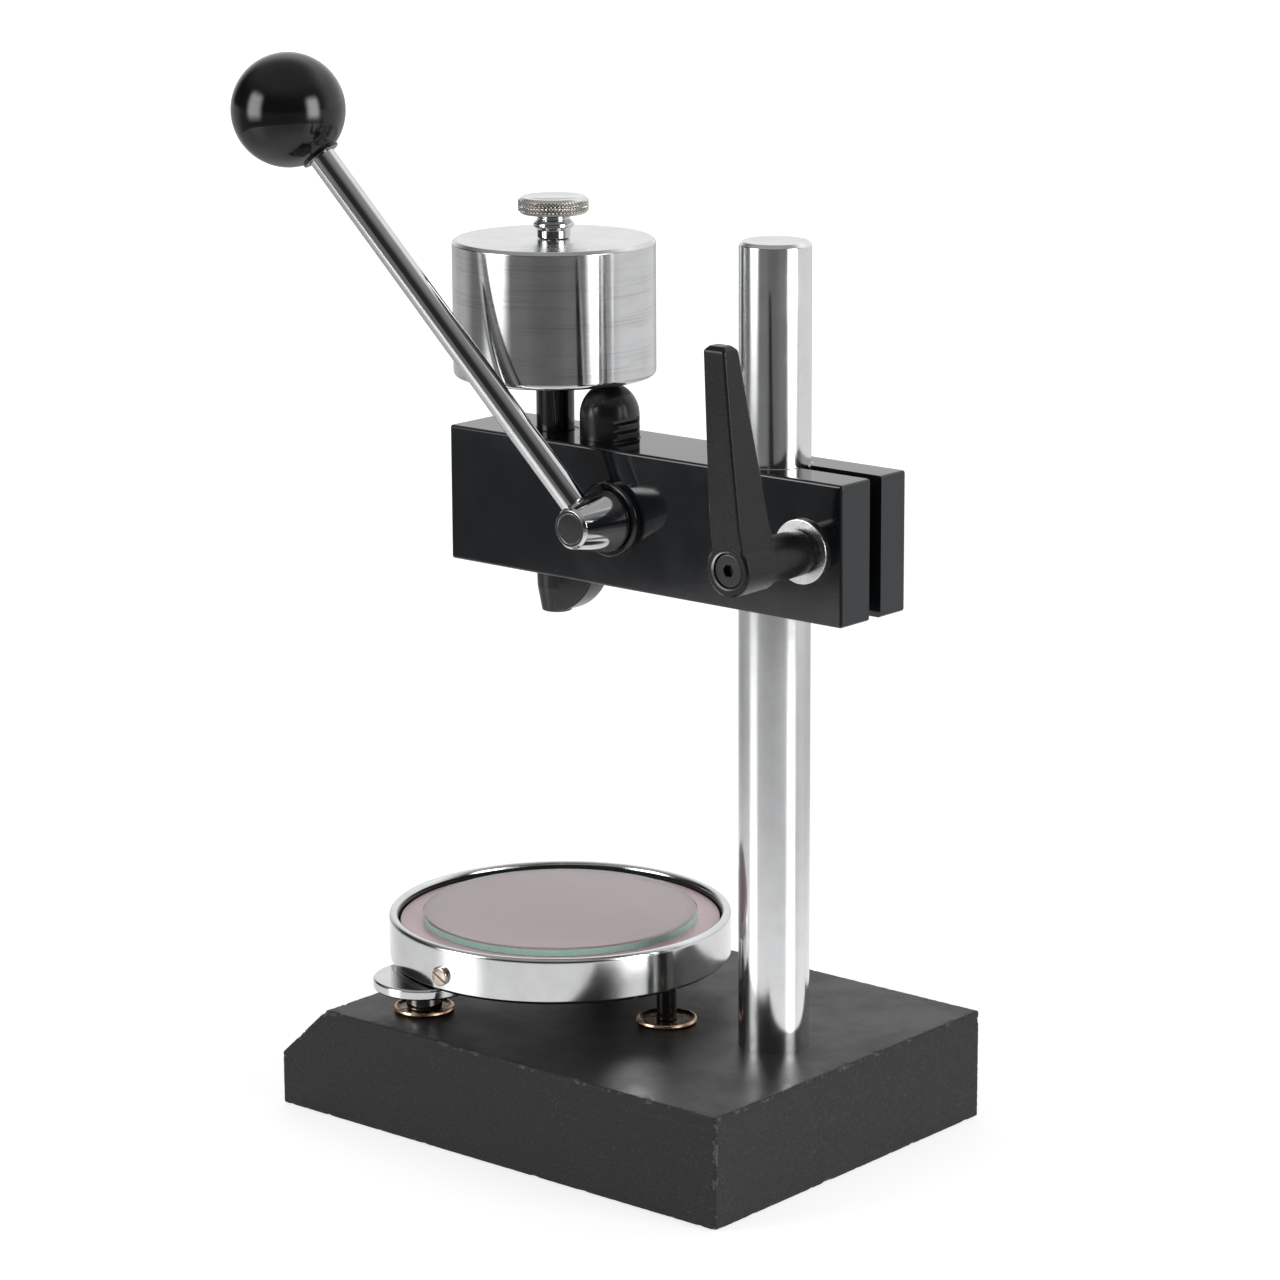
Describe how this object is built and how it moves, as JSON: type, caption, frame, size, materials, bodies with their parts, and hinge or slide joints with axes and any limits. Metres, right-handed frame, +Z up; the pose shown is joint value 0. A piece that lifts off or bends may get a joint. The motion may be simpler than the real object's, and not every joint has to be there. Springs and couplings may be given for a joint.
{
  "type": "constant-load test stand",
  "caption": "Bench stand with a stone base, levelling glass table, round column and clamped arm, whose rack-and-pinion lever lowers a weighted spindle",
  "frame": {"origin": "centre of the stone base's underside", "axes": "+Z up the column, +X towards the operator's right, where the lever and the clamp handle are, +Y towards the column at the rear"},
  "size_m": [0.1647, 0.2236, 0.3841],
  "materials": {
    "base_stone": "satin",
    "black_paint": "gloss",
    "handle_coat": "satin",
    "chrome_plate": "polished",
    "nickel_knurl": "satin",
    "plain_steel": "satin",
    "black_steel": "satin",
    "bronze_bush": "satin",
    "brass_trim": "satin",
    "black_plastic": "gloss",
    "glass_backing": "satin",
    "table_glass": "polished"
  },
  "bodies": {
    "base": {"base_plate": "base_stone", "foot_washers": "brass_trim", "levelling_studs": "plain_steel", "pivot_post": "black_steel", "table_dish": "chrome_plate", "glass_carrier": "black_steel", "glass_pad": "glass_backing", "glass_plate": "table_glass", "table_screws": "brass_trim"},
    "thumb_right": {"thumb_nut_right": "chrome_plate"},
    "thumb_left": {"thumb_nut_left": "chrome_plate"},
    "column": {"column": "chrome_plate", "column_bolt": "black_steel", "column_bolt_washer": "plain_steel"},
    "arm": {"arm": "black_paint", "spindle_bush_upper": "black_steel", "spindle_bush_lower": "bronze_bush", "bearing_cap": "black_paint", "bearing_bush": "black_steel", "clamp_washer": "chrome_plate"},
    "lever": {"pinion_shaft": "plain_steel", "shaft_circlip": "black_steel", "lever_hub": "chrome_plate", "lever_rod": "chrome_plate", "ball_knob": "black_plastic"},
    "plunger": {"rack_plunger": "black_steel"},
    "spindle": {"spindle": "black_steel", "weight": "chrome_plate", "guide_yoke": "black_paint", "guide_pin": "plain_steel", "yoke_screw": "black_steel"},
    "knob": {"weight_knob": "nickel_knurl"},
    "clamp": {"clamp_stud": "plain_steel", "handle_insert": "plain_steel", "handle_screw": "black_steel", "handle_spring": "plain_steel"},
    "handle": {"clamp_handle": "handle_coat"}
  },
  "joints": [
    {"name": "arm_swivel", "type": "hinge", "parent": "base", "child": "column", "pos_m": [0, 0.0675, 0.2], "axis": [0, 0, 1], "continuous": true},
    {"name": "arm_height", "type": "slide", "parent": "column", "child": "arm", "axis": [0, 0, 1], "range_m": [-0.065, 0.07]},
    {"name": "lever_pivot", "type": "hinge", "parent": "arm", "child": "lever", "pos_m": [0, 0.0088, 0.224], "axis": [1, 0, 0], "range_deg": [0, 80]},
    {"name": "plunger_slide", "type": "slide", "parent": "arm", "child": "plunger", "axis": [0, 0, -1], "range_m": [0, 0.0098]},
    {"name": "spindle_slide", "type": "slide", "parent": "arm", "child": "spindle", "axis": [0, 0, -1], "range_m": [0, 0.0098]},
    {"name": "knob_turn", "type": "hinge", "parent": "spindle", "child": "knob", "pos_m": [0, -0.0325, 0.328], "axis": [0, 0, 1], "continuous": true},
    {"name": "clamp_turn", "type": "hinge", "parent": "arm", "child": "clamp", "pos_m": [0.03, 0.0935, 0.224], "axis": [1, 0, 0], "range_deg": [0, 120]},
    {"name": "handle_pull", "type": "slide", "parent": "clamp", "child": "handle", "axis": [1, 0, 0], "range_m": [0, 0.004], "stiffness_N_per_m": 2000, "springref_m": -0.006, "deforming": ["handle_spring"]},
    {"name": "thumb_right_turn", "type": "hinge", "parent": "base", "child": "thumb_right", "pos_m": [0.05135, -0.0531, 0.048], "axis": [0, 0, 1], "continuous": true},
    {"name": "thumb_left_turn", "type": "hinge", "parent": "base", "child": "thumb_left", "pos_m": [-0.05135, -0.0531, 0.048], "axis": [0, 0, 1], "continuous": true}
  ],
  "couplings": [
    {"joint": "plunger_slide", "follows": "lever_pivot", "m_per_rad": 0.007},
    {"joint": "spindle_slide", "follows": "lever_pivot", "m_per_rad": 0.007}
  ]
}
